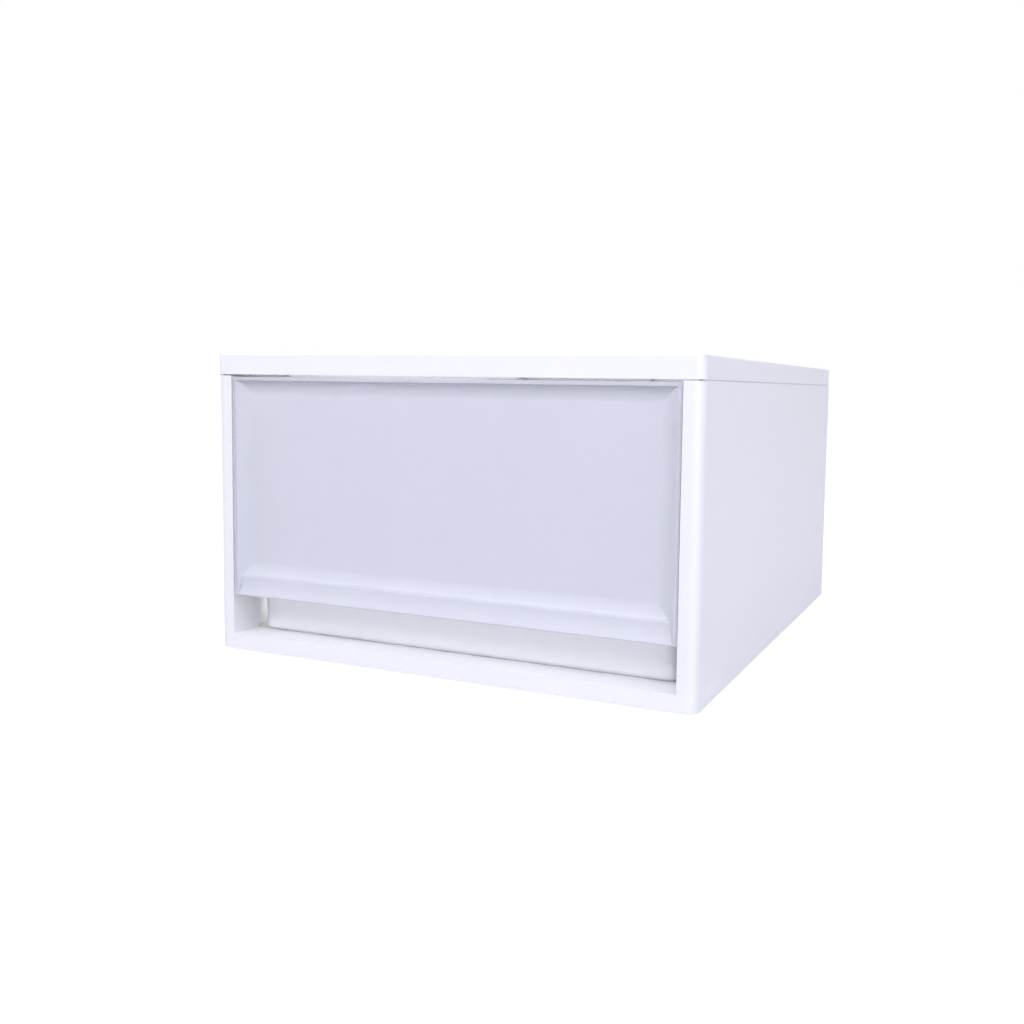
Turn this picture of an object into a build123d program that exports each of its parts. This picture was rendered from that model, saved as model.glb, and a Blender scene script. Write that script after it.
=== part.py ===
"""Stackable drawer box: a white moulded case with a separate lid panel and one frosted drawer.

Frame: +Z up, the front faces -Y, origin at the middle of the footprint on the ground. Millimetres.
"""
from build123d import *
import os
from math import hypot, radians, tan

# ---- Overall sizes ----
overall_width = 390.0
overall_depth = 445.0
overall_height = 230.0

# ---- Case body: one open-topped moulding with its front frame ----
foot_proud = 1.5          # the feet stand this far below the case skirt
panel_height = 16.6       # lid panel from its landing on the case to its top face
panel_overhang = 0.5      # the lid panel is this much larger than the case on every side
case_wall = 2.5
case_corner_radius = 7.5
stile_width = 14.0        # visible width of each front upright
frame_depth = 28.0        # front to back size of the hollow uprights and of the sill
sill_top = 12.75          # height of the sill that the drawer runs over
stop_step = 2.0           # the bay floor lies this far below the sill
runner_width = 6.0
runner_spacing = 280.0    # between the middles of the two runners
guide_count = 5           # upright guide ribs on each side wall
guide_thickness = 2.0
guide_top_gap = 1.0       # between the guides and the lid's collar
skirt_setback = 1.0       # the ribs under the floor end this far above the skirt's edge
rib_thickness = 1.8
floor_columns = 5         # cells under the floor, across
floor_rows = 6            # cells under the floor, front to back
foot_radius = 11.0
foot_inset = 26.0         # foot's middle from the case's side and front or back face
foot_clearance = 0.2
boss_wall = 2.0

# ---- Lid panel ----
panel_skin = 2.5
panel_skirt = 3.0
panel_front_radius = 2.0
panel_edge_radius = 1.4
seam_height = 0.8         # shadow line between panel and case
seam_depth = 1.0
collar_drop = 4.0         # the locating collar reaches this far down inside the case
collar_thickness = 2.0
collar_clearance = 0.4
panel_rib_height = 8.0
panel_columns = 5
panel_rows = 6
hold_down_spacing = 300.0
hold_down_thickness = 2.5
hold_down_clearance = 1.0  # between the drawer's rim and the ribs that stop it tipping
socket_depth = 1.5        # dimples in the lid that take the feet of a unit above
socket_clearance = 1.0
socket_floor = 2.0

# ---- Lid snaps: beads on the lid's collar click into recesses in the case walls ----
tongue_width = 18.0
bead_width = 12.0
bead_height = 1.6
bead_depth = 0.9          # stands out this far from the collar
bead_rise = 0.6           # above the collar's lower edge
bead_clearance = 0.2
back_snap_spacing = 220.0

# ---- Drawer tub ----
running_clearance = 0.25  # under the drawer
drawer_side_gap = 1.5     # drawer rim to the uprights
ledge_depth = 24.5        # sill shown in front of the tub's foot
drawer_back_gap = 6.0
drawer_travel = 330.0
stop_gap = 0.3
stop_rib_height = 1.75
stop_rib_length = 3.0
tub_wall = 2.2
tub_floor = 2.5
tub_draft = 1.0           # degrees
tub_corner_radius = 8.0   # at the foot
tub_base_radius = 4.0
lip_width = 3.0
lip_thickness = 2.0
lip_drop = 5.0
lip_edge = 1.5

# ---- Drawer front: a dished hood clipped over the tub ----
front_recess = 0.8        # behind the uprights' faces
front_gap = 1.2           # at each side
front_bottom = 43.7
front_top_gap = 0.5       # to the case's top edge
front_wall = 2.2
front_depth = 16.5
front_rim = 2.5
dish_depth = 8.0
dish_slope_side = 11.0
dish_slope_bottom = 18.0
dish_valley_radius = 14.0
front_corner_radius = 1.5
bottom_lip = 5.0
hook_width = 290.0        # between the round corners of the tub
hook_drop = 12.0
hook_thickness = 2.0
hook_clearance = 0.3
clip_places = (-110.0, 110.0)
clip_height = 70.0
clip_width = 12.0
clip_thickness = 2.4
clip_barb = 1.4
clip_reach = 4.0
slot_clearance = 0.3

# ---- Worked out ----
case_width = overall_width - 2 * panel_overhang
case_depth = overall_depth - 2 * panel_overhang
case_front = -case_depth / 2
case_back = case_depth / 2
case_top = overall_height - panel_height
floor_top = sill_top - stop_step
floor_under = floor_top - case_wall
frame_back = case_front + frame_depth
bay_width = case_width - 2 * case_wall
bay_back = case_back - case_wall
opening_width = case_width - 2 * stile_width
panel_under = overall_height - panel_skin
foot_x = case_width / 2 - foot_inset
foot_y = case_depth / 2 - foot_inset
collar_face = collar_clearance + collar_thickness
guide_pitch = (bay_back - frame_back) / guide_count
column_middle = case_front + frame_depth / 2
side_snap_places = (column_middle, frame_back + guide_pitch, bay_back - guide_pitch)
back_snap_places = (-back_snap_spacing / 2, back_snap_spacing / 2)
bead_bottom = case_top - collar_drop + bead_rise

front_width = opening_width - 2 * front_gap
front_face = case_front + front_recess
front_top = case_top - front_top_gap
front_height = front_top - front_bottom
front_back = front_face + front_depth

tub_bottom = sill_top + running_clearance
tub_rim = front_top - front_wall      # the hood sits on the rim
tub_flare = tan(radians(tub_draft)) * (tub_rim - tub_bottom)
tub_front = case_front + ledge_depth  # at the foot
rim_front = tub_front - tub_flare
rim_back = bay_back - drawer_back_gap - lip_width
rim_width = opening_width - 2 * (drawer_side_gap + lip_width)
stop_face = frame_back + stop_gap + drawer_travel
hold_down_bottom = tub_rim + hold_down_clearance


def prism(profile, low, high):
    """A plan profile raised from one height to another."""
    return extrude(Pos(0, 0, low) * profile, high - low)


def strip(x_range, y_range):
    """A rectangle in plan, given by its edges."""
    (x0, x1), (y0, y1) = x_range, y_range
    return Pos((x0 + x1) / 2, (y0 + y1) / 2) * Rectangle(x1 - x0, y1 - y0)


def cell_grid(x_range, y_range, columns, rows, web):
    """The plan of the cells that a rib pattern leaves open between its webs."""
    (x0, x1), (y0, y1) = x_range, y_range
    cell_x = (x1 - x0 - (columns - 1) * web) / columns
    cell_y = (y1 - y0 - (rows - 1) * web) / rows
    cells = Sketch() + GridLocations(cell_x + web, cell_y + web, columns, rows) * Rectangle(cell_x, cell_y)
    return Pos((x0 + x1) / 2, (y0 + y1) / 2) * cells


def foot_discs(radius):
    """Four discs in plan, one over each foot."""
    return Sketch() + GridLocations(2 * foot_x, 2 * foot_y, 2, 2) * Circle(radius)


def case_plan():
    return RectangleRounded(case_width, case_depth, case_corner_radius)


def bay_plan():
    """The bay behind the front frame, with round back corners."""
    bay = strip((-bay_width / 2, bay_width / 2), (frame_back, bay_back))
    return fillet(bay.vertices().group_by(Axis.Y)[-1], case_corner_radius - case_wall)


def column_pockets():
    """The hollow inside each front upright, open at the top."""
    inner = opening_width / 2 + case_wall
    outer = bay_width / 2
    depth = (case_front + case_wall, frame_back - case_wall)
    return strip((inner, outer), depth) + strip((-outer, -inner), depth)


def case_base():
    """Floor, sill and skirt, cored out from below into a grid of ribs."""
    inside = (-bay_width / 2, bay_width / 2)
    sill = strip((-case_width / 2, case_width / 2), (case_front, frame_back)) & case_plan()
    base = prism(case_plan(), foot_proud, floor_top) + prism(sill, floor_top, sill_top)
    base -= prism(offset(case_plan(), -case_wall), foot_proud, foot_proud + skirt_setback)
    floor_cells = cell_grid(inside, (frame_back, bay_back), floor_columns, floor_rows, rib_thickness)
    bosses = foot_discs(foot_radius + foot_clearance + boss_wall)
    base -= prism(floor_cells - bosses, foot_proud + skirt_setback, floor_under)
    sill_depth = (case_front + case_wall, frame_back - case_wall)
    sill_cells = cell_grid(inside, sill_depth, floor_columns, 1, rib_thickness)
    base -= prism(sill_cells - bosses, foot_proud + skirt_setback, sill_top - case_wall)
    return base - prism(foot_discs(foot_radius + foot_clearance), foot_proud, floor_under)


def case_walls():
    """Side walls, back wall and hollow uprights, drawn in plan."""
    opening = strip((-opening_width / 2, opening_width / 2), (case_front, frame_back))
    plan = case_plan() - bay_plan() - opening - column_pockets()
    return prism(plan, floor_top, case_top)


def runners():
    """Two low tracks on the floor that carry the tub at the sill's height."""
    track = strip((-runner_width / 2, runner_width / 2), (frame_back, bay_back))
    return [Pos(side * runner_spacing / 2, 0) * prism(track, floor_top, sill_top) for side in (-1, 1)]


def side_guides():
    """Upright ribs on the side walls that keep the drawer straight."""
    top = case_top - collar_drop - guide_top_gap
    ribs = []
    for index in range(guide_count):
        middle = frame_back + (index + 0.5) * guide_pitch
        y_range = (middle - guide_thickness / 2, middle + guide_thickness / 2)
        rib = strip((opening_width / 2, bay_width / 2), y_range)
        ribs += [prism(rib, floor_top, top), mirror(prism(rib, floor_top, top), Plane.YZ)]
    return ribs


def snap_recess():
    """The shallow recess in the case wall that a bead clicks into. The wall's face is at x = 0."""
    depth = bead_depth - collar_clearance + bead_clearance
    half = bead_width / 2 + bead_clearance
    recess = strip((-collar_clearance, depth), (-half, half))
    return prism(recess, bead_bottom - bead_clearance, bead_bottom + bead_height + bead_clearance)


def snap_tongue():
    """A stretch of the lid's collar with its bead, drawn against a wall at x = 0."""
    face = -collar_clearance
    blank = strip((face - collar_thickness, face), (-tongue_width / 2, tongue_width / 2))
    ridge = Polyline(
        (face, bead_bottom), (face + bead_depth, bead_bottom + bead_height / 2),
        (face, bead_bottom + bead_height), close=True,
    )
    bead = extrude(Plane.XZ * make_face(ridge), bead_width / 2, both=True)
    return prism(blank, case_top - collar_drop, panel_under) + bead


def at_each_snap(piece):
    """Copies of a piece that is drawn on the wall at x = 0, one at every snap of the lid."""
    right = [Pos(bay_width / 2, y) * piece for y in side_snap_places]
    left = [Pos(-bay_width / 2, y) * Rot(0, 0, 180) * piece for y in side_snap_places]
    back = [Pos(x, bay_back) * Rot(0, 0, 90) * piece for x in back_snap_places]
    return right + left + back


def case_body():
    case = case_base() + case_walls()
    case += runners()
    case += side_guides()
    return case - at_each_snap(snap_recess())


def panel_plan():
    """The lid's outline: crisp front corners, round back corners that follow the case."""
    plan = Rectangle(overall_width, overall_depth)
    plan = fillet(plan.vertices().group_by(Axis.Y)[-1], case_corner_radius)
    return fillet(plan.vertices().group_by(Axis.Y)[0], panel_front_radius)


def front_skirt_plan():
    """The lid's front skirt, whose lower edge stands clear of the case over its whole thickness."""
    front = -overall_depth / 2
    return strip((-overall_width / 2, overall_width / 2), (front, front + panel_skirt))


def lid_collar():
    """The collar that drops inside the case's side and back walls and centres the lid."""
    outer = offset(bay_plan(), -collar_clearance)
    ring = outer - offset(bay_plan(), -collar_face)
    front = strip((-bay_width / 2, bay_width / 2), (frame_back, frame_back + 2 * collar_face))
    return prism(ring - front, case_top - collar_drop, panel_under)


def lid_ribs():
    """The rib pattern under the lid, with the two deeper ribs that hold the drawer level."""
    inside = offset(panel_plan(), -panel_skirt)
    span_x = overall_width / 2 - panel_skirt
    span_y = overall_depth / 2 - panel_skirt
    cells = cell_grid((-span_x, span_x), (-span_y, span_y), panel_columns, panel_rows, rib_thickness)
    ribs = prism(inside - cells, panel_under - panel_rib_height, panel_under)
    across = (-hold_down_thickness / 2, hold_down_thickness / 2)
    deep = prism(strip(across, (frame_back, bay_back - collar_face)), hold_down_bottom, panel_under)
    return ribs + [Pos(side * hold_down_spacing / 2, 0) * deep for side in (-1, 1)]


def top_panel():
    panel = prism(panel_plan(), case_top, overall_height)
    panel = fillet(panel.edges().group_by(Axis.Z)[-1], panel_edge_radius)
    panel -= prism(offset(panel_plan(), -panel_skirt), case_top, panel_under)
    panel -= prism(panel_plan() - offset(panel_plan(), -seam_depth), case_top, case_top + seam_height)
    panel -= prism(front_skirt_plan(), case_top, case_top + seam_height)
    panel += lid_ribs()
    panel += lid_collar()
    panel += at_each_snap(snap_tongue())
    dimple = foot_radius + socket_clearance
    low = overall_height - socket_depth
    panel += prism(foot_discs(dimple + socket_floor), low - socket_floor, panel_under)
    return panel - prism(foot_discs(dimple), low, overall_height)


def tub_outline(grow=0.0):
    """The plan of the tub's outside at its rim, grown by the lip or drawn in by the wall."""
    width = rim_width + 2 * grow
    length = rim_back - rim_front + 2 * grow
    corner = tub_corner_radius + tub_flare + grow
    return Pos(0, (rim_front + rim_back) / 2) * RectangleRounded(width, length, corner)


def drafted(outline, low, base_radius):
    """A rim outline run down to a floor with the tub's draft, rounded at its foot."""
    block = extrude(Pos(0, 0, tub_rim) * outline, low - tub_rim, taper=tub_draft)
    return fillet(block.edges().group_by(Axis.Z)[0], base_radius)


def tub_lip():
    """The outward rim with its turned-down edge."""
    outer = tub_outline(lip_width)
    lip = prism(outer - tub_outline(-tub_wall), tub_rim - lip_thickness, tub_rim)
    return lip + prism(outer - tub_outline(lip_width - lip_edge), tub_rim - lip_drop, tub_rim)


def clip_slots():
    """The slots in the tub's front wall that take the hood's clips."""
    width = clip_width + 2 * slot_clearance
    height = clip_thickness + clip_barb + 2 * slot_clearance
    low = clip_height - clip_thickness / 2 - slot_clearance
    slot = strip((-width / 2, width / 2), (rim_front, tub_front + tub_wall))
    return [Pos(x, 0) * prism(slot, low, low + height) for x in clip_places]


def drawer_tub():
    """The drafted tub, its lip, and the low rib under it that stops it at full travel."""
    outside = drafted(tub_outline(), tub_bottom, tub_base_radius)
    inside = drafted(tub_outline(-tub_wall), tub_bottom + tub_floor, tub_base_radius - tub_wall)
    stop_half = runner_spacing / 2 - runner_width
    stop = strip((-stop_half, stop_half), (stop_face, stop_face + stop_rib_length))
    tub = outside - inside
    tub += tub_lip()
    tub += prism(stop, tub_bottom - stop_rib_height, tub_bottom)
    return tub - clip_slots()


def front_view(margin_side, margin_top, margin_bottom, y):
    """A rectangle of the drawer front, drawn in from its edges, in the upright plane at y."""
    width = front_width - 2 * margin_side
    height = front_height - margin_top - margin_bottom
    middle = front_bottom + margin_bottom + height / 2
    return Plane.XZ.offset(-y) * Pos(0, middle) * Rectangle(width, height)


def dish(grow=0.0):
    """The sunk field with its sloping borders: the visible side, or grown to the skin's back."""
    depth = dish_depth + grow

    def inset(slope, at_depth):
        sideways = grow * hypot(slope, dish_depth) / dish_depth
        return front_rim + slope * at_depth / dish_depth - sideways

    mouth_side = inset(dish_slope_side, 0)
    field_side = inset(dish_slope_side, depth)
    mouth = front_view(mouth_side, mouth_side, inset(dish_slope_bottom, 0), front_face)
    field_bottom = inset(dish_slope_bottom, depth)
    field = front_view(field_side, field_side, field_bottom, front_face + depth)
    sunk = loft([mouth, field])
    return fillet(sunk.faces().sort_by(Axis.Y)[-1].edges(), dish_valley_radius + grow)


def hood():
    """The dished front as a skin of one thickness, open at the back and in its grip."""
    block = extrude(front_view(0, 0, 0, front_face), -front_depth)
    block = fillet(block.edges().filter_by(Axis.Y), front_corner_radius)
    hollow = extrude(front_view(front_wall, front_wall, front_wall, front_face + front_wall), -front_depth)
    skin = block - dish() - (hollow - dish(front_wall))
    half = front_width / 2 - front_wall
    grip = strip((-half, half), (front_face + bottom_lip, front_back))
    return skin - prism(grip, front_bottom, front_bottom + front_wall)


def hood_hook():
    """The top of the hood carries on over the tub's rim and turns down inside it."""
    ledge_half = front_width / 2 - front_corner_radius
    inner = rim_front + tub_wall + hook_clearance
    outer = inner + hook_thickness
    ledge = strip((-ledge_half, ledge_half), (front_back - front_wall, outer))
    hook = strip((-hook_width / 2, hook_width / 2), (inner, outer))
    return prism(ledge, front_top - front_wall, front_top) + prism(hook, front_top - hook_drop, front_top)


def hood_clip():
    """A barbed arm from the dished skin through a slot in the tub's front wall."""
    start = front_face + dish_depth + front_wall / 2
    wall_inner = tub_front + tub_wall
    low = clip_height - clip_thickness / 2
    barb = clip_height + clip_thickness / 2 + clip_barb
    outline = Polyline(
        (start, low), (wall_inner + clip_reach, low), (wall_inner + hook_clearance, barb),
        (wall_inner + hook_clearance, low + clip_thickness), (start, low + clip_thickness), close=True,
    )
    arm = extrude(Plane.YZ * make_face(outline), clip_width / 2, both=True)
    return [Pos(x, 0) * arm for x in clip_places]


def drawer_front():
    front = hood() + hood_hook()
    return front + hood_clip()


def foot():
    """A soft pad pressed into its socket, standing on the ground."""
    return Cylinder(foot_radius, floor_under, align=(Align.CENTER, Align.CENTER, Align.MIN))


def feet():
    """The four feet by name."""
    names = {}
    for depth_name, y in (("front", -foot_y), ("rear", foot_y)):
        for side_name, x in (("left", -foot_x), ("right", foot_x)):
            names[f"foot_{depth_name}_{side_name}"] = Pos(x, y) * foot()
    return names


def main():
    os.makedirs("parts", exist_ok=True)
    pieces = {
        "case_body": case_body(),
        "top_panel": top_panel(),
        "drawer_tub": drawer_tub(),
        "drawer_front": drawer_front(),
        **feet(),
    }
    for name, piece in pieces.items():
        export_step(piece, f"parts/{name}.step")


main()
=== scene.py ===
# %% [markdown]
# # A stackable drawer box, dressed in Blender
#
# The object is a low white box of moulded polypropylene: a case that is open at its top, a separate lid
# panel that clicks on, and one drawer whose frosted front is sunk like a shallow dish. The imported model
# brings the pieces at their real places. This script gives each one its finish, rebuilds the pieces whose
# soft edges matter, and sets a plain studio around them. Everything is in metres, +Z is up, and the
# drawer front faces -Y.

# %% Load the frame
from math import copysign, cos, degrees, radians, sin, tan

import bmesh
import bpy
from mathutils import Matrix, Vector


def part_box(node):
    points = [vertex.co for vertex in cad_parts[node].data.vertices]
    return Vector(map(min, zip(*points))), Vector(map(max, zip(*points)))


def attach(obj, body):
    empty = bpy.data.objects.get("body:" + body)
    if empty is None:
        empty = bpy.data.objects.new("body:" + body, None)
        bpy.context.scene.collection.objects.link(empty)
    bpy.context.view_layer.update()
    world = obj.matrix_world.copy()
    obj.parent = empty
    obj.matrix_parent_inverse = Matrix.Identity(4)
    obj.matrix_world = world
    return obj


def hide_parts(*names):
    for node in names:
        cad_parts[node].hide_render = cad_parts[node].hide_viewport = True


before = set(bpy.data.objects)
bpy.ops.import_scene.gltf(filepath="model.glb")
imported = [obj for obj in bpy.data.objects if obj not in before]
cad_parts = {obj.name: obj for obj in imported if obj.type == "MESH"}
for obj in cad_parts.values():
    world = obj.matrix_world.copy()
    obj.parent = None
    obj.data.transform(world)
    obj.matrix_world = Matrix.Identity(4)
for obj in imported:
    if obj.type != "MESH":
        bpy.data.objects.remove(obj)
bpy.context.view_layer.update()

scene = bpy.context.scene

# %% [markdown]
# The sizes of a moulded part are given in millimetres, so one helper turns them into metres. The places
# of the pieces are read from the frame and never typed again. Three small lengths say when two places
# count as one.

# %% Units and places
MM = 0.001


def mm(*values):
    """Millimetres to metres: one number, or a vector of three."""
    scaled = [value * MM for value in values]
    return scaled[0] if len(scaled) == 1 else Vector(scaled)


weld = mm(0.002)            # points closer than this are merged
plane_reach = mm(0.001)     # a cutting plane takes points this close to it
near = mm(0.01)             # within this of a height or a depth counts as there
case_low, case_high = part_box("case_body")
panel_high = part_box("top_panel")[1]
front_low, front_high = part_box("drawer_front")
tub_low, tub_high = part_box("drawer_tub")
print("case is", [round(size / MM, 1) for size in case_high - case_low], "mm")

# %% [markdown]
# ## Camera
#
# The photo is a product shot from the right of the drawer, with the lens a little below the top panel, so
# that the top face is only a line. The camera's place, its two angles and its small roll come from the
# box's own edges: they are the values at which its corners fall where the photo shows them. Turning the
# camera would also bring the box to its place in the picture, but it would tilt the upright lines, so the
# lens is shifted instead, by a few hundredths of the frame.

# %% Camera
camera_place = mm(376.7, -841.3, 207.9)
camera_azimuth = radians(23.79)    # turned this far to the left of +Y
camera_elevation = radians(4.72)   # and down
camera_roll = radians(0.86)
lens_mm = 36.22
sensor_mm = 36.0
shift_right = -0.0562
shift_up = -0.0384


def camera_axes(azimuth, elevation, roll):
    """The camera's right, up and backward directions."""
    ahead = Vector((-sin(azimuth) * cos(elevation), cos(azimuth) * cos(elevation), -sin(elevation)))
    level_right = Vector((cos(azimuth), sin(azimuth), 0.0))
    level_up = level_right.cross(ahead)
    right = cos(roll) * level_right + sin(roll) * level_up
    up = cos(roll) * level_up - sin(roll) * level_right
    return right, up, -ahead


camera = bpy.data.objects.new("camera", bpy.data.cameras.new("camera"))
scene.collection.objects.link(camera)
axes = Matrix(camera_axes(camera_azimuth, camera_elevation, camera_roll)).transposed()
camera.matrix_world = Matrix.Translation(camera_place) @ axes.to_4x4()
camera.data.sensor_width = sensor_mm
camera.data.lens = lens_mm
camera.data.shift_x = shift_right
camera.data.shift_y = shift_up
camera.data.clip_start = mm(10)
scene.camera = camera
print("camera at", [round(value, 3) for value in camera_place])

# %% [markdown]
# ## Studio
#
# The box stands on paper under soft light from three large lamps and from the room, whose light is a
# little blue, as the shaded sides of the box are in the photo. The white of the background is a colour
# that only the camera, gloss and clear plastic see, so a matt face gets no light from it. A white floor
# would throw too much light up at the box. So the paper is grey to the box, keeps its shadow, and glows
# up to white only where it is seen directly.
#
# White polypropylene passes some light, and a frosted front passes more. Clearer walls would bring that
# light in, but they would also show what is behind them. So five hidden glows inside the box stand for
# it, and no camera ray, gloss or clear plastic sees them.

# %% Studio
scene.view_settings.view_transform = "Standard"
floor_reach = 6.0
room_colour, room_strength = (0.77, 0.78, 1.0), 0.59
paper_colour, paper_roughness = (0.32, 0.32, 0.33), 0.9
paper_glow = 0.86
box_middle = (0.0, 0.0, 0.12)


def seen_directly(nodes, links):
    """1 where a ray comes from the camera, from a gloss or through clear plastic, and 0 elsewhere."""
    path = nodes.new("ShaderNodeLightPath")
    either = nodes.new("ShaderNodeMath")
    either.operation = "MAXIMUM"
    links.new(path.outputs["Is Camera Ray"], either.inputs[0])
    links.new(path.outputs["Is Glossy Ray"], either.inputs[1])
    clear = nodes.new("ShaderNodeMath")
    clear.operation = "MAXIMUM"
    links.new(either.outputs[0], clear.inputs[0])
    links.new(path.outputs["Is Transmission Ray"], clear.inputs[1])
    return clear.outputs[0]


def make_world(light_colour, light_strength):
    """An even room light, seen as plain white."""
    world = bpy.data.worlds.new("studio")
    world.use_nodes = True
    nodes, links = world.node_tree.nodes, world.node_tree.links
    light = nodes["Background"]
    light.inputs["Color"].default_value = (*light_colour, 1.0)
    light.inputs["Strength"].default_value = light_strength
    white = nodes.new("ShaderNodeBackground")
    white.inputs["Color"].default_value = (1.0, 1.0, 1.0, 1.0)
    mix = nodes.new("ShaderNodeMixShader")
    links.new(seen_directly(nodes, links), mix.inputs["Fac"])
    links.new(light.outputs[0], mix.inputs[1])
    links.new(white.outputs[0], mix.inputs[2])
    links.new(mix.outputs[0], nodes["World Output"].inputs["Surface"])
    return world


def make_floor_material():
    """Grey paper that keeps the shadow, lifted to the background's white where it is seen directly."""
    material = bpy.data.materials.new("studio_floor")
    material.use_nodes = True
    nodes, links = material.node_tree.nodes, material.node_tree.links
    paper = nodes["Principled BSDF"]
    paper.inputs["Base Color"].default_value = (*paper_colour, 1.0)
    paper.inputs["Roughness"].default_value = paper_roughness
    glow = nodes.new("ShaderNodeEmission")
    glow.inputs["Strength"].default_value = paper_glow
    none = nodes.new("ShaderNodeEmission")
    none.inputs["Strength"].default_value = 0.0
    lift = nodes.new("ShaderNodeMixShader")
    links.new(seen_directly(nodes, links), lift.inputs["Fac"])
    links.new(none.outputs[0], lift.inputs[1])
    links.new(glow.outputs[0], lift.inputs[2])
    both = nodes.new("ShaderNodeAddShader")
    links.new(paper.outputs[0], both.inputs[0])
    links.new(lift.outputs[0], both.inputs[1])
    links.new(both.outputs[0], nodes["Material Output"].inputs["Surface"])
    return material


def soft_lamp(name, place, aim, width, height, power, colour=(1.0, 1.0, 1.0)):
    """A rectangular lamp that faces a point."""
    light = bpy.data.lights.new(name, "AREA")
    light.shape = "RECTANGLE"
    light.size, light.size_y = width, height
    light.energy = power
    light.color = colour
    lamp = bpy.data.objects.new(name, light)
    scene.collection.objects.link(lamp)
    lamp.location = place
    lamp.rotation_euler = (Vector(aim) - Vector(place)).to_track_quat("-Z", "Y").to_euler()
    return lamp


def hidden_glow(name, place, aim, width, height, power):
    """A lamp inside the box that stands for light through its walls, and is not seen itself."""
    lamp = soft_lamp(name, place, aim, width, height, power)
    lamp.visible_camera = lamp.visible_glossy = lamp.visible_transmission = False


scene.world = make_world(room_colour, room_strength)
floor_mesh = bpy.data.meshes.new("studio_floor")
sheet = bmesh.new()
bmesh.ops.create_grid(sheet, x_segments=1, y_segments=1, size=floor_reach)
sheet.to_mesh(floor_mesh)
sheet.free()
floor = bpy.data.objects.new("studio_floor", floor_mesh)
scene.collection.objects.link(floor)
floor.data.materials.append(make_floor_material())
print("the floor is", floor_reach * 2, "m wide")

# %% Lamps
# Each has a name, a place, the point it faces, its width and height in metres, its watts, and a colour
# where it isn't white.
soft_lamp("key", (-0.50, -2.40, 2.60), box_middle, 1.9, 1.7, 75.0)
soft_lamp("right_low", (1.7, -2.6, 0.45), box_middle, 1.9, 0.9, 20.0, (0.95, 0.96, 1.0))
soft_lamp("right_mid", (1.7, -0.5, 1.3), box_middle, 1.2, 1.0, 14.5, (0.90, 0.92, 1.0))
hidden_glow("lid_glow", mm(0.0, 0.0, 206.0), mm(0.0, 0.0, 0.0), 0.37, 0.41, 1.28)
for name, side in (("left_glow", -1), ("right_glow", 1)):
    hidden_glow(name, mm(side * 185.5, -165.0, 25.0), mm(side * 192.0, -205.0, 22.0), 0.008, 0.02, 0.0014)
hidden_glow("grip_glow", mm(0.0, -212.0, 42.5), mm(0.0, -213.0, 10.0), 0.35, 0.008, 0.007)
hidden_glow("floor_glow", mm(0.0, -165.0, 9.8), mm(0.0, -210.0, 7.0), 0.35, 0.002, 0.40)

# %% [markdown]
# ## Finishes
#
# The case and the lid are white polypropylene with a satin grain that comes from the mould. The drawer's
# front is the same plastic without pigment, frosted by a rougher mould face but polished at its rim, and
# the tub is left glossy, so that one sees into it. The feet are a softer plastic. Two effects are shared
# by all of them: the grain of the mould, and the faint marks that hands and dust leave. They could be
# built again in every material. As node groups they are built once and take each plastic's own values.

# %% Colours and node helpers


def linear(red, green, blue):
    """A colour as a picture shows it, 0 to 255, turned into the light values that a shader takes."""
    def one(value):
        share = value / 255
        return share / 12.92 if share <= 0.04045 else ((share + 0.055) / 1.055) ** 2.4
    return (one(red), one(green), one(blue), 1.0)


def new_group(name, inputs, outputs):
    """An empty node group with float inputs and named outputs."""
    group = bpy.data.node_groups.new(name, "ShaderNodeTree")
    for label, value in inputs.items():
        socket = group.interface.new_socket(label, in_out="INPUT", socket_type="NodeSocketFloat")
        socket.default_value = value
    for label, kind in outputs.items():
        group.interface.new_socket(label, in_out="OUTPUT", socket_type=kind)
    return group, group.nodes.new("NodeGroupInput"), group.nodes.new("NodeGroupOutput")


def noise(group, coordinates, scale, detail):
    """A noise texture on the piece's own coordinates, with its scale in grains per metre."""
    texture = group.nodes.new("ShaderNodeTexNoise")
    texture.inputs["Scale"].default_value = scale
    texture.inputs["Detail"].default_value = detail
    group.links.new(coordinates, texture.inputs["Vector"])
    return texture.outputs["Fac"]


def maths(group, operation, first, second):
    """One Math node. Each operand is a socket or a number."""
    node = group.nodes.new("ShaderNodeMath")
    node.operation = operation
    for place, value in enumerate((first, second)):
        if isinstance(value, (int, float)):
            node.inputs[place].default_value = value
        else:
            group.links.new(value, node.inputs[place])
    return node.outputs[0]


print("node helpers are ready")

# %% The two node groups
# Scales, in grains per metre.
mould_grain, wall_waves, flow_streaks = 1600.0, 7.0, 90.0
hand_blotches, blotch_grain, dust_specks = 22.0, 160.0, 420.0
streak_stretch = (0.12, 1.0, 1.0)    # flow streaks run long in X


def mould_group():
    """Grain, shallow waves and flow streaks of a moulded wall as one height, and the grain alone."""
    group, given, result = new_group(
        "moulded_wall", {"Grain share": 0.5, "Flow share": 0.0},
        {"Height": "NodeSocketFloat", "Grain": "NodeSocketFloat"})
    place = group.nodes.new("ShaderNodeTexCoord").outputs["Object"]
    grain = noise(group, place, mould_grain, 2.0)
    waves = noise(group, place, wall_waves, 1.0)
    stretched = group.nodes.new("ShaderNodeVectorMath")
    stretched.operation = "MULTIPLY"
    stretched.inputs[1].default_value = streak_stretch
    group.links.new(place, stretched.inputs[0])
    streaks = noise(group, stretched.outputs[0], flow_streaks, 2.0)
    flow = maths(group, "MULTIPLY", streaks, given.outputs["Flow share"])
    fine = maths(group, "MULTIPLY", grain, given.outputs["Grain share"])
    height = maths(group, "ADD", maths(group, "ADD", fine, waves), flow)
    group.links.new(height, result.inputs["Height"])
    group.links.new(grain, result.inputs["Grain"])
    return group


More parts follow.
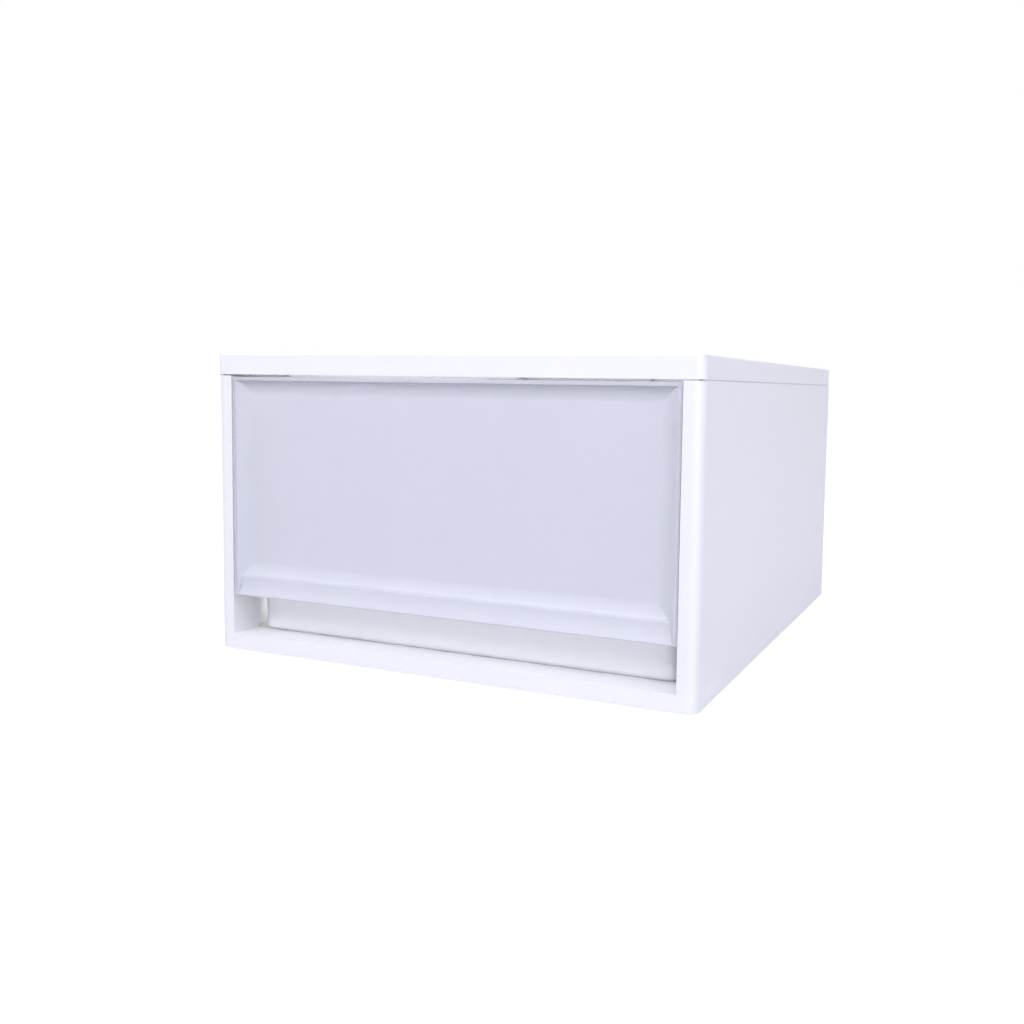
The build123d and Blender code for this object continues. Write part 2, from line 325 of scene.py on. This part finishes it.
def marks_group():
    """Where hands and dust have been: soft blotches, and more dust on what faces up."""
    group, given, result = new_group(
        "handling_marks", {"Dust": 0.5}, {"Mask": "NodeSocketFloat", "Dust": "NodeSocketFloat"})
    place = group.nodes.new("ShaderNodeTexCoord").outputs["Object"]
    broad = noise(group, place, hand_blotches, 4.0)
    broken = noise(group, place, blotch_grain, 3.0)
    group.links.new(maths(group, "MULTIPLY", broad, broken), result.inputs["Mask"])
    facing = group.nodes.new("ShaderNodeSeparateXYZ")
    normal = group.nodes.new("ShaderNodeNewGeometry").outputs["Normal"]
    group.links.new(normal, facing.inputs[0])
    upward = maths(group, "MAXIMUM", facing.outputs["Z"], 0.0)
    specks = maths(group, "MULTIPLY", noise(group, place, dust_specks, 6.0), given.outputs["Dust"])
    group.links.new(maths(group, "MULTIPLY", upward, specks), result.inputs["Dust"])
    return group


moulded_wall, handling_marks = mould_group(), marks_group()
print("groups:", [group.name for group in bpy.data.node_groups])

# %% [markdown]
# One recipe makes the five plastics. The colour drifts a little between a clean and a marked tone, the
# roughness follows the grain and the marks, and the bump carries the grain, the waves and the flow
# streaks. Each plastic has its own tones, roughness and bump, and how much light it lets through is set
# on the shader itself. Five separate materials would do as well, but a change to one would miss the rest.

# %% Plastics
plastic_ior = 1.49


def plastic(name, clean, marked, rough_low, rough_high, grain, bump_mm, transmission=0.0, flow=0.0):
    """A moulded plastic. Roughness runs between two values as the grain and the marks do."""
    material = bpy.data.materials.new(name)
    material.use_nodes = True
    nodes, links = material.node_tree.nodes, material.node_tree.links
    shader = nodes["Principled BSDF"]
    shader.inputs["IOR"].default_value = plastic_ior
    shader.inputs["Transmission Weight"].default_value = transmission
    wall = nodes.new("ShaderNodeGroup")
    marks = nodes.new("ShaderNodeGroup")
    wall.node_tree = moulded_wall
    marks.node_tree = handling_marks
    wall.inputs["Grain share"].default_value = grain
    wall.inputs["Flow share"].default_value = flow
    soil = maths(material.node_tree, "ADD", marks.outputs["Mask"], marks.outputs["Dust"])
    tone = nodes.new("ShaderNodeMix")
    tone.data_type = "RGBA"
    tone.inputs["A"].default_value = clean
    tone.inputs["B"].default_value = marked
    links.new(soil, tone.inputs["Factor"])
    links.new(tone.outputs["Result"], shader.inputs["Base Color"])
    rough = nodes.new("ShaderNodeMapRange")
    rough.inputs["To Min"].default_value = rough_low
    rough.inputs["To Max"].default_value = rough_high
    wear = maths(material.node_tree, "MULTIPLY", wall.outputs["Grain"], soil)
    links.new(wear, rough.inputs["Value"])
    links.new(rough.outputs["Result"], shader.inputs["Roughness"])
    bump = nodes.new("ShaderNodeBump")
    bump.inputs["Distance"].default_value = mm(bump_mm)
    links.new(wall.outputs["Height"], bump.inputs["Height"])
    links.new(bump.outputs["Normal"], shader.inputs["Normal"])
    return material


# The front's frosted and polished faces share a plastic.
front_plastic = {"clean": linear(240, 241, 249), "marked": linear(234, 235, 243), "transmission": 0.46}
case_white = plastic(
    "white_satin", clean=linear(251, 251, 253), marked=linear(244, 244, 246),
    rough_low=0.34, rough_high=0.60, grain=0.05, bump_mm=0.5, transmission=0.15)
tub_clear = plastic(
    "clear_gloss", clean=linear(249, 249, 252), marked=linear(242, 242, 246),
    rough_low=0.06, rough_high=0.22, grain=0.01, bump_mm=0.9, transmission=0.34, flow=0.15)
front_frost = plastic("frosted", rough_low=0.46, rough_high=0.66, grain=0.10, bump_mm=0.4, **front_plastic)
front_polish = plastic(
    "polished_rim", rough_low=0.12, rough_high=0.30, grain=0.01, bump_mm=0.15, **front_plastic)
foot_soft = plastic(
    "soft_foot", clean=linear(222, 222, 226), marked=linear(190, 190, 192),
    rough_low=0.66, rough_high=0.85, grain=0.20, bump_mm=0.6)
plastics = (case_white, tub_clear, front_frost, front_polish, foot_soft)
print("plastics:", [material.name for material in plastics])

# %% [markdown]
# ## Shared steps
#
# Each new piece is closed, made in a bmesh and then handed to the frame. The object stays at the origin,
# unturned, and its place is in its mesh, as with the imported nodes. Curved faces are shaded smooth, and an
# edge sharper than 35 degrees stays an edge. Rounding an edge tilts the shading of the large face
# beside it, so a weighted-normal modifier lets the large faces decide, and they keep looking flat. More
# rows of faces along each edge would do that too, at the price of many more triangles.

# %% Shared steps: a finished piece
sharp_angle = radians(35)


def as_piece(shell, name, slot_name, materials, body, *nodes):
    """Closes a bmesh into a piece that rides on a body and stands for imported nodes."""
    bmesh.ops.remove_doubles(shell, verts=shell.verts, dist=weld)
    bmesh.ops.recalc_face_normals(shell, faces=shell.faces)
    mesh = bpy.data.meshes.new(name)
    shell.to_mesh(mesh)
    open_edges = sum(1 for edge in shell.edges if len(edge.link_faces) != 2)
    shell.free()
    mesh.shade_smooth()
    mesh.set_sharp_from_angle(angle=sharp_angle)
    for material in materials:
        mesh.materials.append(material)
    piece = bpy.data.objects.new(name, mesh)
    scene.collection.objects.link(piece)
    flat = piece.modifiers.new("flat_faces_stay_flat", "WEIGHTED_NORMAL")
    flat.keep_sharp = True
    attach(piece, body)
    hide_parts(*nodes)
    print(name, "has", len(mesh.polygons), "faces and", open_edges, "open edges")


print("a piece keeps edges over", round(degrees(sharp_angle)), "degrees")

# %% [markdown]
# A moulding is nearly all flat faces that are drawn in, pulled out and rounded. Its skin could be typed as
# a list of points, but then no size could be changed. So a few short steps do what a modeller does by
# hand: lay a plate, inset it, pull it, score a line across it and soften an edge. Later steps find their
# edges and faces by place, because a bevel makes new ones and takes the old ones away.

# %% Shared steps: plates, pulls and edges


def plate(shell, low, high, height, radius=0.0, steps=12):
    """A flat face that looks up, between two corners in plan, with its own corners rounded."""
    made = bmesh.ops.create_grid(shell, x_segments=1, y_segments=1, size=0.5)["verts"]
    size = Vector(high) - Vector(low)
    middle = (Vector(low) + Vector(high)) / 2
    bmesh.ops.scale(shell, verts=made, vec=(size.x, size.y, 1.0))
    bmesh.ops.translate(shell, verts=made, vec=(middle.x, middle.y, height))
    if radius:
        made = bmesh.ops.bevel(
            shell, geom=made, offset=radius, segments=steps, profile=0.5, affect="VERTICES", material=-1,
        )["verts"]
    return made[0].link_faces[0]


def inset(shell, face, inwards, along=0.0):
    """Makes a flat face smaller and moves it along its normal, with a border left round it."""
    bmesh.ops.inset_region(
        shell, faces=[face], thickness=inwards, depth=along, use_even_offset=True, use_boundary=True)


def pull(shell, face, along, keep=False):
    """Extrudes a face straight along a vector and returns the moved one. keep leaves a face behind it."""
    made = bmesh.ops.extrude_face_region(shell, geom=[face])["geom"]
    moved = [item for item in made if isinstance(item, bmesh.types.BMVert)]
    bmesh.ops.translate(shell, verts=moved, vec=along)
    if face.is_valid and not keep:
        bmesh.ops.delete(shell, geom=[face], context="FACES_ONLY")
    return next(item for item in made if isinstance(item, bmesh.types.BMFace))


def pull_edges(shell, edges, along):
    """Extrudes open edges along a vector and returns the moved edges."""
    made = bmesh.ops.extrude_edge_only(shell, edges=list(edges))["geom"]
    moved = [item for item in made if isinstance(item, bmesh.types.BMVert)]
    bmesh.ops.translate(shell, verts=moved, vec=along)
    return [item for item in made if isinstance(item, bmesh.types.BMEdge)]


def score(shell, picked, axis, places):
    """Cuts lines into the faces that picked() chooses, at places along an axis."""
    across = Vector([float(axis == name) for name in "xyz"])
    for place in places:
        faces = [face for face in shell.faces if picked(face)]
        edges = dict.fromkeys(edge for face in faces for edge in face.edges)
        corners = dict.fromkeys(vert for face in faces for vert in face.verts)
        bmesh.ops.bisect_plane(
            shell, geom=[*corners, *edges, *faces], dist=plane_reach, plane_co=across * place,
            plane_no=across)


def soften(shell, edges, width, segments):
    """A round bevel along edges."""
    bmesh.ops.bevel(
        shell, geom=list(edges), offset=width, segments=segments, profile=0.5, affect="EDGES", material=-1,
        clamp_overlap=True)


def middle_of(item):
    """The middle of an edge or a face."""
    return sum((vert.co for vert in item.verts), Vector()) / len(item.verts)


print("shared steps are ready")

# %% [markdown]
# ## Drawer front
#
# The front is a hood of one thickness: a narrow flat rim, a dish with short slopes at the top and the
# sides, and a wider slope at the bottom that catches the light as a band. The grip edge below it rolls
# back, and a fine bead runs where the band begins.
#
# The dish could be cut from a block, but a moulding has no block behind it. So it is drawn as a bare
# sheet, lying on its back, because an inset with a depth makes a sloping border in one step. The valley
# round the field is rounded first, and then the slanting edges where the slopes meet. The roll and the
# bead are scored after that, because rounding a slanting edge that their lines cross makes spikes. The
# edge of the mouth is softened last.

# %% Drawer front: sizes of the sheet
front_rim = mm(2.5)
lower_rim = mm(0.8)
dish_depth = mm(5.5)
side_slope = mm(7.5)
top_slope = mm(5.0)
bottom_slope = mm(18.0)
valley_blend = mm(6.0)
mitre_blend = mm(4.0)
roll_height = mm(6.0)
roll_depth = mm(1.6)
bead_middle = mm(59.5)
bead_width = mm(3.4)
bead_height = mm(0.45)
mouth_round = mm(0.7)
face_level = -front_low.y     # the height of the rim, on the lying sheet
side_reach = mm(0.6)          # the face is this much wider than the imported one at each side
top_reach = mm(-0.5)          # and ends this much lower
slope_end = mm(30.0)          # the slope at the bottom lies below this height over the lower edge
print("the dish is", round(dish_depth / MM, 1), "mm deep")

# %% Drawer front: steps for the sheet


def lower_slope(face):
    """True for the faces that run right across the slope at the bottom of the dish."""
    middle = middle_of(face)
    in_band = front_low.z + lower_rim < middle.y < front_low.z + slope_end
    return abs(middle.x) < mm(1) and in_band and middle.z < face_level


def raise_line(shell, height, along):
    """Moves the vertices of a scored line forwards or back. The lying sheet's front is +Z."""
    def on_line(vert):
        return abs(vert.co.y - height) < near and vert.co.z < face_level - mm(0.1)

    line = [vert for vert in shell.verts if on_line(vert)]
    bmesh.ops.translate(shell, verts=line, vec=(0.0, 0.0, along))


def dished_sheet(shell):
    """The visible face of the front, looking up: rim, slopes and sunk field, with soft valleys."""
    low = (front_low.x - side_reach, front_low.z)
    high = (front_high.x + side_reach, front_high.z + top_reach)
    face = plate(shell, low, high, face_level)
    inset(shell, face, front_rim)
    low_mouth = min(face.edges, key=lambda edge: middle_of(edge).y)
    bmesh.ops.translate(shell, verts=list(low_mouth.verts), vec=(0.0, lower_rim - front_rim, 0.0))
    inset(shell, face, side_slope, -dish_depth)
    low_valley = min(face.edges, key=lambda edge: middle_of(edge).y)
    rise = front_low.z + front_rim + bottom_slope - middle_of(low_valley).y
    bmesh.ops.translate(shell, verts=list(low_valley.verts), vec=(0.0, rise, 0.0))
    high_valley = max(face.edges, key=lambda edge: middle_of(edge).y)
    bmesh.ops.translate(shell, verts=list(high_valley.verts), vec=(0.0, side_slope - top_slope, 0.0))
    soften(shell, list(face.edges), valley_blend, segments=10)


def add_lines(shell):
    """The roll of the grip edge, and the fine bead where the band begins."""
    roll = front_low.z + lower_rim + roll_height
    score(shell, lower_slope, "y", (roll,))
    raise_line(shell, roll, -roll_depth)
    half = bead_width / 2
    score(shell, lower_slope, "y", (bead_middle - half, bead_middle, bead_middle + half))
    raise_line(shell, bead_middle, bead_height)


def mitre_edges(shell):
    """The edges that run slantwise from the mouth's corners down into the dish."""
    def slants(edge):
        run = edge.verts[1].co - edge.verts[0].co
        turned = min(abs(run.x), abs(run.y), abs(run.z)) > mm(0.02)
        inside = max(vert.co.z for vert in edge.verts) < face_level + near
        return turned and inside and not edge.is_boundary

    return [edge for edge in shell.edges if slants(edge)]


def mouth_edges(shell):
    """The edges where the flat rim turns into the dish."""
    def on_rim(vert):
        return abs(vert.co.z - face_level) < near and not vert.is_boundary

    return [edge for edge in shell.edges if all(on_rim(vert) for vert in edge.verts)]


print("the bead is", round(bead_height / MM, 2), "mm high")

# %% Drawer front: the dished sheet
frosted_face, polished_face = 0, 1     # places in the piece's list of materials
shell = bmesh.new()
dished_sheet(shell)
soften(shell, mitre_edges(shell), mitre_blend, segments=5)
add_lines(shell)
soften(shell, mouth_edges(shell), mouth_round, segments=3)
for face in shell.faces:
    sunk = middle_of(face).z < face_level - mouth_round
    face.material_index = frosted_face if sunk else polished_face
print("dished sheet:", len(shell.faces), "faces")

# %% [markdown]
# From the sheet's outline the walls go back: a short lip at the bottom, where fingers reach in, and the
# full depth at the sides and the top. The top carries on over the tub's rim and turns down behind it, as
# a hook. A real hook would stop short of the tub's round corners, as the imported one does. Here it still
# runs the full width, and its two ends cut into the tub's side walls. The walls could be drawn as boxes
# of their own, but an outline that is pulled back stays one skin with the dish, and gets its thickness in
# a single step. At the end the whole is stood upright.

# %% Drawer front: walls, hook and thickness
front_wall = mm(1.9)
grip_depth = mm(5.0)
hood_depth = mm(16.5)
hook_back = mm(-196.45)
hook_drop = mm(12.0)


def hood_walls(shell):
    """Short walls all round, then deep ones at the sides and the top, and the hook over the tub."""
    before = set(shell.faces)
    outline = [edge for edge in shell.edges if edge.is_boundary]
    lip = pull_edges(shell, outline, (0.0, 0.0, -grip_depth))
    bottom = min(lip, key=lambda edge: middle_of(edge).y)
    others = [edge for edge in lip if edge != bottom]
    deep = pull_edges(shell, others, (0.0, 0.0, grip_depth - hood_depth))
    top = max(deep, key=lambda edge: middle_of(edge).y)
    ledge = pull_edges(shell, [top], (0.0, 0.0, front_low.y + hood_depth - hook_back))
    pull_edges(shell, ledge, (0.0, -hook_drop, 0.0))
    for face in shell.faces:
        if face not in before:
            face.material_index = polished_face


hood_walls(shell)
bmesh.ops.recalc_face_normals(shell, faces=shell.faces)
bmesh.ops.solidify(shell, geom=list(shell.faces), thickness=front_wall)
upright = Matrix.Rotation(radians(90), 3, "X")
bmesh.ops.rotate(shell, verts=shell.verts, cent=(0.0, 0.0, 0.0), matrix=upright)
print("hood:", len(shell.faces), "faces")

# %% [markdown]
# Two barbed arms reach from the hood's back through slots in the tub's front wall. Screws would hold too,
# but such boxes have none: the arms bend and catch. Each starts as a block, whose tip is raised and then
# drawn down to a wedge, so that it slides in and can't slip out.

# %% Drawer front: clips
clip_places = (mm(-110.0), mm(110.0))
clip_size = mm(12.0, 22.3, 2.4)
clip_height = mm(70.0)
barb_start = mm(-195.0)
barb_rise = mm(1.4)


def add_clip(shell, across):
    """One arm with a barb, its root inside the hood's skin."""
    made = bmesh.ops.create_cube(shell, size=1.0)["verts"]
    bmesh.ops.scale(shell, verts=made, vec=clip_size)
    bmesh.ops.translate(shell, verts=made, vec=(across, front_high.y - clip_size.y / 2, clip_height))
    top = clip_height + clip_size.z / 2

    def upper(face):
        middle = middle_of(face)
        on_arm = abs(middle.x - across) < mm(1) and middle.y < front_high.y
        return on_arm and top - near < middle.z < top + mm(1)

    score(shell, upper, "y", (barb_start,))
    tip = max((face for face in shell.faces if upper(face)), key=lambda face: middle_of(face).y)
    raised = pull(shell, tip, (0.0, 0.0, barb_rise))
    far = [vert for vert in raised.verts if vert.co.y > barb_start + mm(1)]
    bmesh.ops.translate(shell, verts=far, vec=(0.0, 0.0, -barb_rise))


for place in clip_places:
    add_clip(shell, place)
finishes = (front_frost, front_polish)
as_piece(shell, "dished_front", "front_frosted", finishes, "drawer", "drawer_front")

# %% [markdown]
# ## Drawer tub
#
# The tub is a deep tray with a slight draft, round corners and an outward lip with a turned-down
# edge, which stiffens it. One sheet with a thickness would give the lip and the floor the same wall, so
# the inside and the outside are each made from a plate of their own, pulled and inset down to the floor.
# Where both start, at the lip's lower edge, they share an outline, and merging its doubles closes the
# skin.

# %% Drawer tub
lip_width = mm(3.0)
lip_drop = mm(5.0)
lip_thickness = mm(2.0)
lip_edge = mm(1.5)
tub_wall = mm(2.2)
tub_floor = mm(2.5)
tub_foot = mm(13.0)
rim_radius = mm(14.45)
foot_radius = mm(2.6)
tub_draft = radians(1.0)


def tub_inside(shell):
    """The lip's outer edge and top, the inner walls and the floor."""
    hem = tub_high.z - lip_drop
    face = plate(shell, tub_low.xy, tub_high.xy, hem, rim_radius)
    face = pull(shell, face, (0.0, 0.0, lip_drop))
    inset(shell, face, lip_width + tub_wall)
    deep = tub_high.z - tub_foot - tub_floor
    inset(shell, face, deep * tan(tub_draft), -deep)
    soften(shell, list(face.edges), foot_radius - tub_wall, segments=6)


def tub_outside(shell):
    """The lip's lower edge and underside, the outer walls and the underside."""
    hem = tub_high.z - lip_drop
    face = plate(shell, tub_low.xy, tub_high.xy, hem, rim_radius)
    inset(shell, face, lip_edge)
    inset(shell, face, 0.0, lip_drop - lip_thickness)
    inset(shell, face, lip_width - lip_edge)
    deep = tub_high.z - lip_thickness - tub_foot
    inset(shell, face, deep * tan(tub_draft), -deep)
    soften(shell, list(face.edges), foot_radius, segments=8)


shell = bmesh.new()
tub_inside(shell)
tub_outside(shell)
bmesh.ops.remove_doubles(shell, verts=shell.verts, dist=weld)
bmesh.ops.recalc_face_normals(shell, faces=shell.faces)
print("tub:", len(shell.faces), "faces")

# %% [markdown]
# The clips' slots go through both faces of the front wall. A boolean would cut them, but it can leave
# slivers in a thin wall. So scored lines bound each slot, the faces between the lines go, and a bridge
# joins the hole outside to the one inside.

# %% Drawer tub: slots
slot_half = mm(6.3)
slot_low, slot_high = mm(68.5), mm(72.9)
square_on = 0.99     # a normal this far along an axis is square on to it


def on_front_wall(face):
    """True for the flat faces of the front wall, outside and inside, but not for those of the lip."""
    middle = middle_of(face)
    return abs(face.normal.y) > square_on and middle.y < mm(-190) and mm(22) < middle.z < mm(200)


def cut_slots(shell):
    """Cuts the clips' slots through the tub's front wall."""
    sides = [place + side * slot_half for place in clip_places for side in (-1, 1)]
    score(shell, on_front_wall, "x", sides)
    score(shell, on_front_wall, "z", (slot_low, slot_high))

    def in_slot(face):
        middle = middle_of(face)
        beside = min(abs(middle.x - place) for place in clip_places)
        return on_front_wall(face) and beside < slot_half and slot_low < middle.z < slot_high

    window = [face for face in shell.faces if in_slot(face)]
    bmesh.ops.delete(shell, geom=window, context="FACES")


def join_holes(shell):
    """Joins the outer and the inner hole of the left slot, and then those of the right one."""
    rims = [edge for edge in shell.edges if edge.is_boundary]
    bmesh.ops.bridge_loops(shell, edges=[edge for edge in rims if edge.verts[0].co.x < 0])
    bmesh.ops.bridge_loops(shell, edges=[edge for edge in shell.edges if edge.is_boundary])


cut_slots(shell)
join_holes(shell)
print("tub with slots:", len(shell.faces), "faces")

# %% [markdown]
# A low rib under the rear of the floor meets the sill when the drawer is fully out, so that it can't fall
# from the case. It could be a bar laid against the floor, but a moulded rib grows out of it. So its
# outline is scored in the underside, and the patch inside is pulled down.

# %% Drawer tub: stop rib
rib_half = mm(134.0)
rib_start, rib_end = mm(136.3), mm(139.3)
rib_middle = (rib_start + rib_end) / 2
rib_drop = tub_foot - tub_low.z


def underside(face):
    """True for the faces of the tub's underside."""
    return face.normal.z < -square_on and middle_of(face).z < tub_foot + near


def add_stop_rib(shell):
    """Scores the rib's outline in the underside and pulls it down."""
    def in_row(face):
        return underside(face) and abs(middle_of(face).y - rib_middle) < mm(1)

    score(shell, underside, "y", (rib_start, rib_end))
    score(shell, in_row, "x", (-rib_half, rib_half))
    patches = [face for face in shell.faces if underside(face)]
    patch = min(patches, key=lambda face: (middle_of(face).xy - Vector((0.0, rib_middle))).length)
    pull(shell, patch, (0.0, 0.0, -rib_drop))


add_stop_rib(shell)
as_piece(shell, "drawer_tub_clear", "tub_translucent", (tub_clear,), "drawer", "drawer_tub")

# %% [markdown]
# ## Case and lid
#
# The case and the lid are white shells with ribs on their hidden sides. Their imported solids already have
# every wall, rib, guide and snap, but with edges as sharp as a drawing's. A mould leaves each edge a
# little round, and that is where such plastic catches the light. Drawing both again would only risk
# losing a rib. So a copy of each solid has its loose triangles merged into whole faces, and then all its
# sharp edges are rounded by about a third of a millimetre.

# %% Case
edge_round = mm(0.35)
triangle_weld = mm(0.001)


def merged_copy(node_name):
    """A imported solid's own shape, with its triangles merged into whole faces."""
    shell = bmesh.new()
    shell.from_mesh(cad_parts[node_name].data)
    bmesh.ops.remove_doubles(shell, verts=shell.verts, dist=triangle_weld)
    bmesh.ops.dissolve_limit(shell, angle_limit=radians(0.5), verts=shell.verts, edges=shell.edges)
    return shell


def soften_sharp(shell):
    """Rounds every sharp edge."""
    sharp = [edge for edge in shell.edges if edge.is_manifold and edge.calc_face_angle() > sharp_angle]
    soften(shell, sharp, edge_round, segments=2)


shell = merged_copy("case_body")
soften_sharp(shell)
as_piece(shell, "case_shell", "case_white", (case_white,), "case", "case_body")

# %% [markdown]
# In the photo the lid is flush with the case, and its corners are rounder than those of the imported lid.
# So its copy is scaled by less than a third of a per cent, and each upright corner is planed to its
# radius. A corner could be bevelled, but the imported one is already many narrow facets. A plane cuts all
# that is in its way, and the hole that it leaves is filled.

# %% Lid
lid_front_radius = mm(6.0)
lid_rear_radius = mm(10.0)


def plane_corner(shell, corner, radius, steps=9):
    """Planes one upright corner round, a narrow facet at a time, and closes each cut."""
    side = Vector((copysign(1.0, corner[0]), copysign(1.0, corner[1]), 0.0))
    middle = Vector((*corner, 0.0)) - side * radius
    for step in range(steps):
        angle = radians(90) * (step + 0.5) / steps
        outward = Vector((side.x * cos(angle), side.y * sin(angle), 0.0))
        bmesh.ops.bisect_plane(
            shell, geom=[*shell.verts, *shell.edges, *shell.faces], dist=plane_reach,
            plane_co=middle + outward * radius, plane_no=outward, clear_outer=True)
        cut = [edge for edge in shell.edges if edge.is_boundary]
        bmesh.ops.holes_fill(shell, edges=cut, sides=0)


shell = merged_copy("top_panel")
flush = Vector((case_high.x / panel_high.x, case_high.y / panel_high.y, 1.0))
bmesh.ops.scale(shell, verts=shell.verts, vec=flush)
for side in (-1, 1):
    plane_corner(shell, (side * case_high.x, -case_high.y), lid_front_radius)
    plane_corner(shell, (side * case_high.x, case_high.y), lid_rear_radius)
soften_sharp(shell)
as_piece(shell, "lid_shell", "case_white", (case_white,), "case", "top_panel")

# %% [markdown]
# ## Feet
#
# A foot is a soft round pad, pressed into its socket. Its tread has a rounded edge and one ring groove.
# The profile could be spun round an axis, but a disc that is pulled, and a groove that is inset from its
# tread and sunk, take fewer steps. One function makes all four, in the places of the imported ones.

# %% Feet
foot_sides = 64
foot_edge = mm(1.0)
groove_at = mm(3.4)
groove_width = mm(0.9)
groove_depth = mm(0.35)


def foot_pad(node_name):
    """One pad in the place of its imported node."""
    low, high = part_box(node_name)
    shell = bmesh.new()
    bmesh.ops.create_circle(shell, cap_ends=True, radius=(high.x - low.x) / 2, segments=foot_sides)
    bmesh.ops.translate(shell, verts=shell.verts, vec=((low.x + high.x) / 2, (low.y + high.y) / 2, high.z))
    disc = next(iter(shell.faces))
    tread = pull(shell, disc, (0.0, 0.0, low.z - high.z), keep=True)
    bmesh.ops.recalc_face_normals(shell, faces=shell.faces)
    inset(shell, tread, groove_at)
    inset(shell, tread, groove_width, -groove_depth)
    inset(shell, tread, groove_width, groove_depth)
    outer = [edge for edge in shell.edges
             if edge.calc_face_angle() > radians(80) and middle_of(edge).z < low.z + near]
    soften(shell, outer, foot_edge, segments=4)
    as_piece(shell, node_name + "_pad", "foot_soft", (foot_soft,), "case", node_name)


for name in sorted(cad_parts):
    if name.startswith("foot_"):
        foot_pad(name)
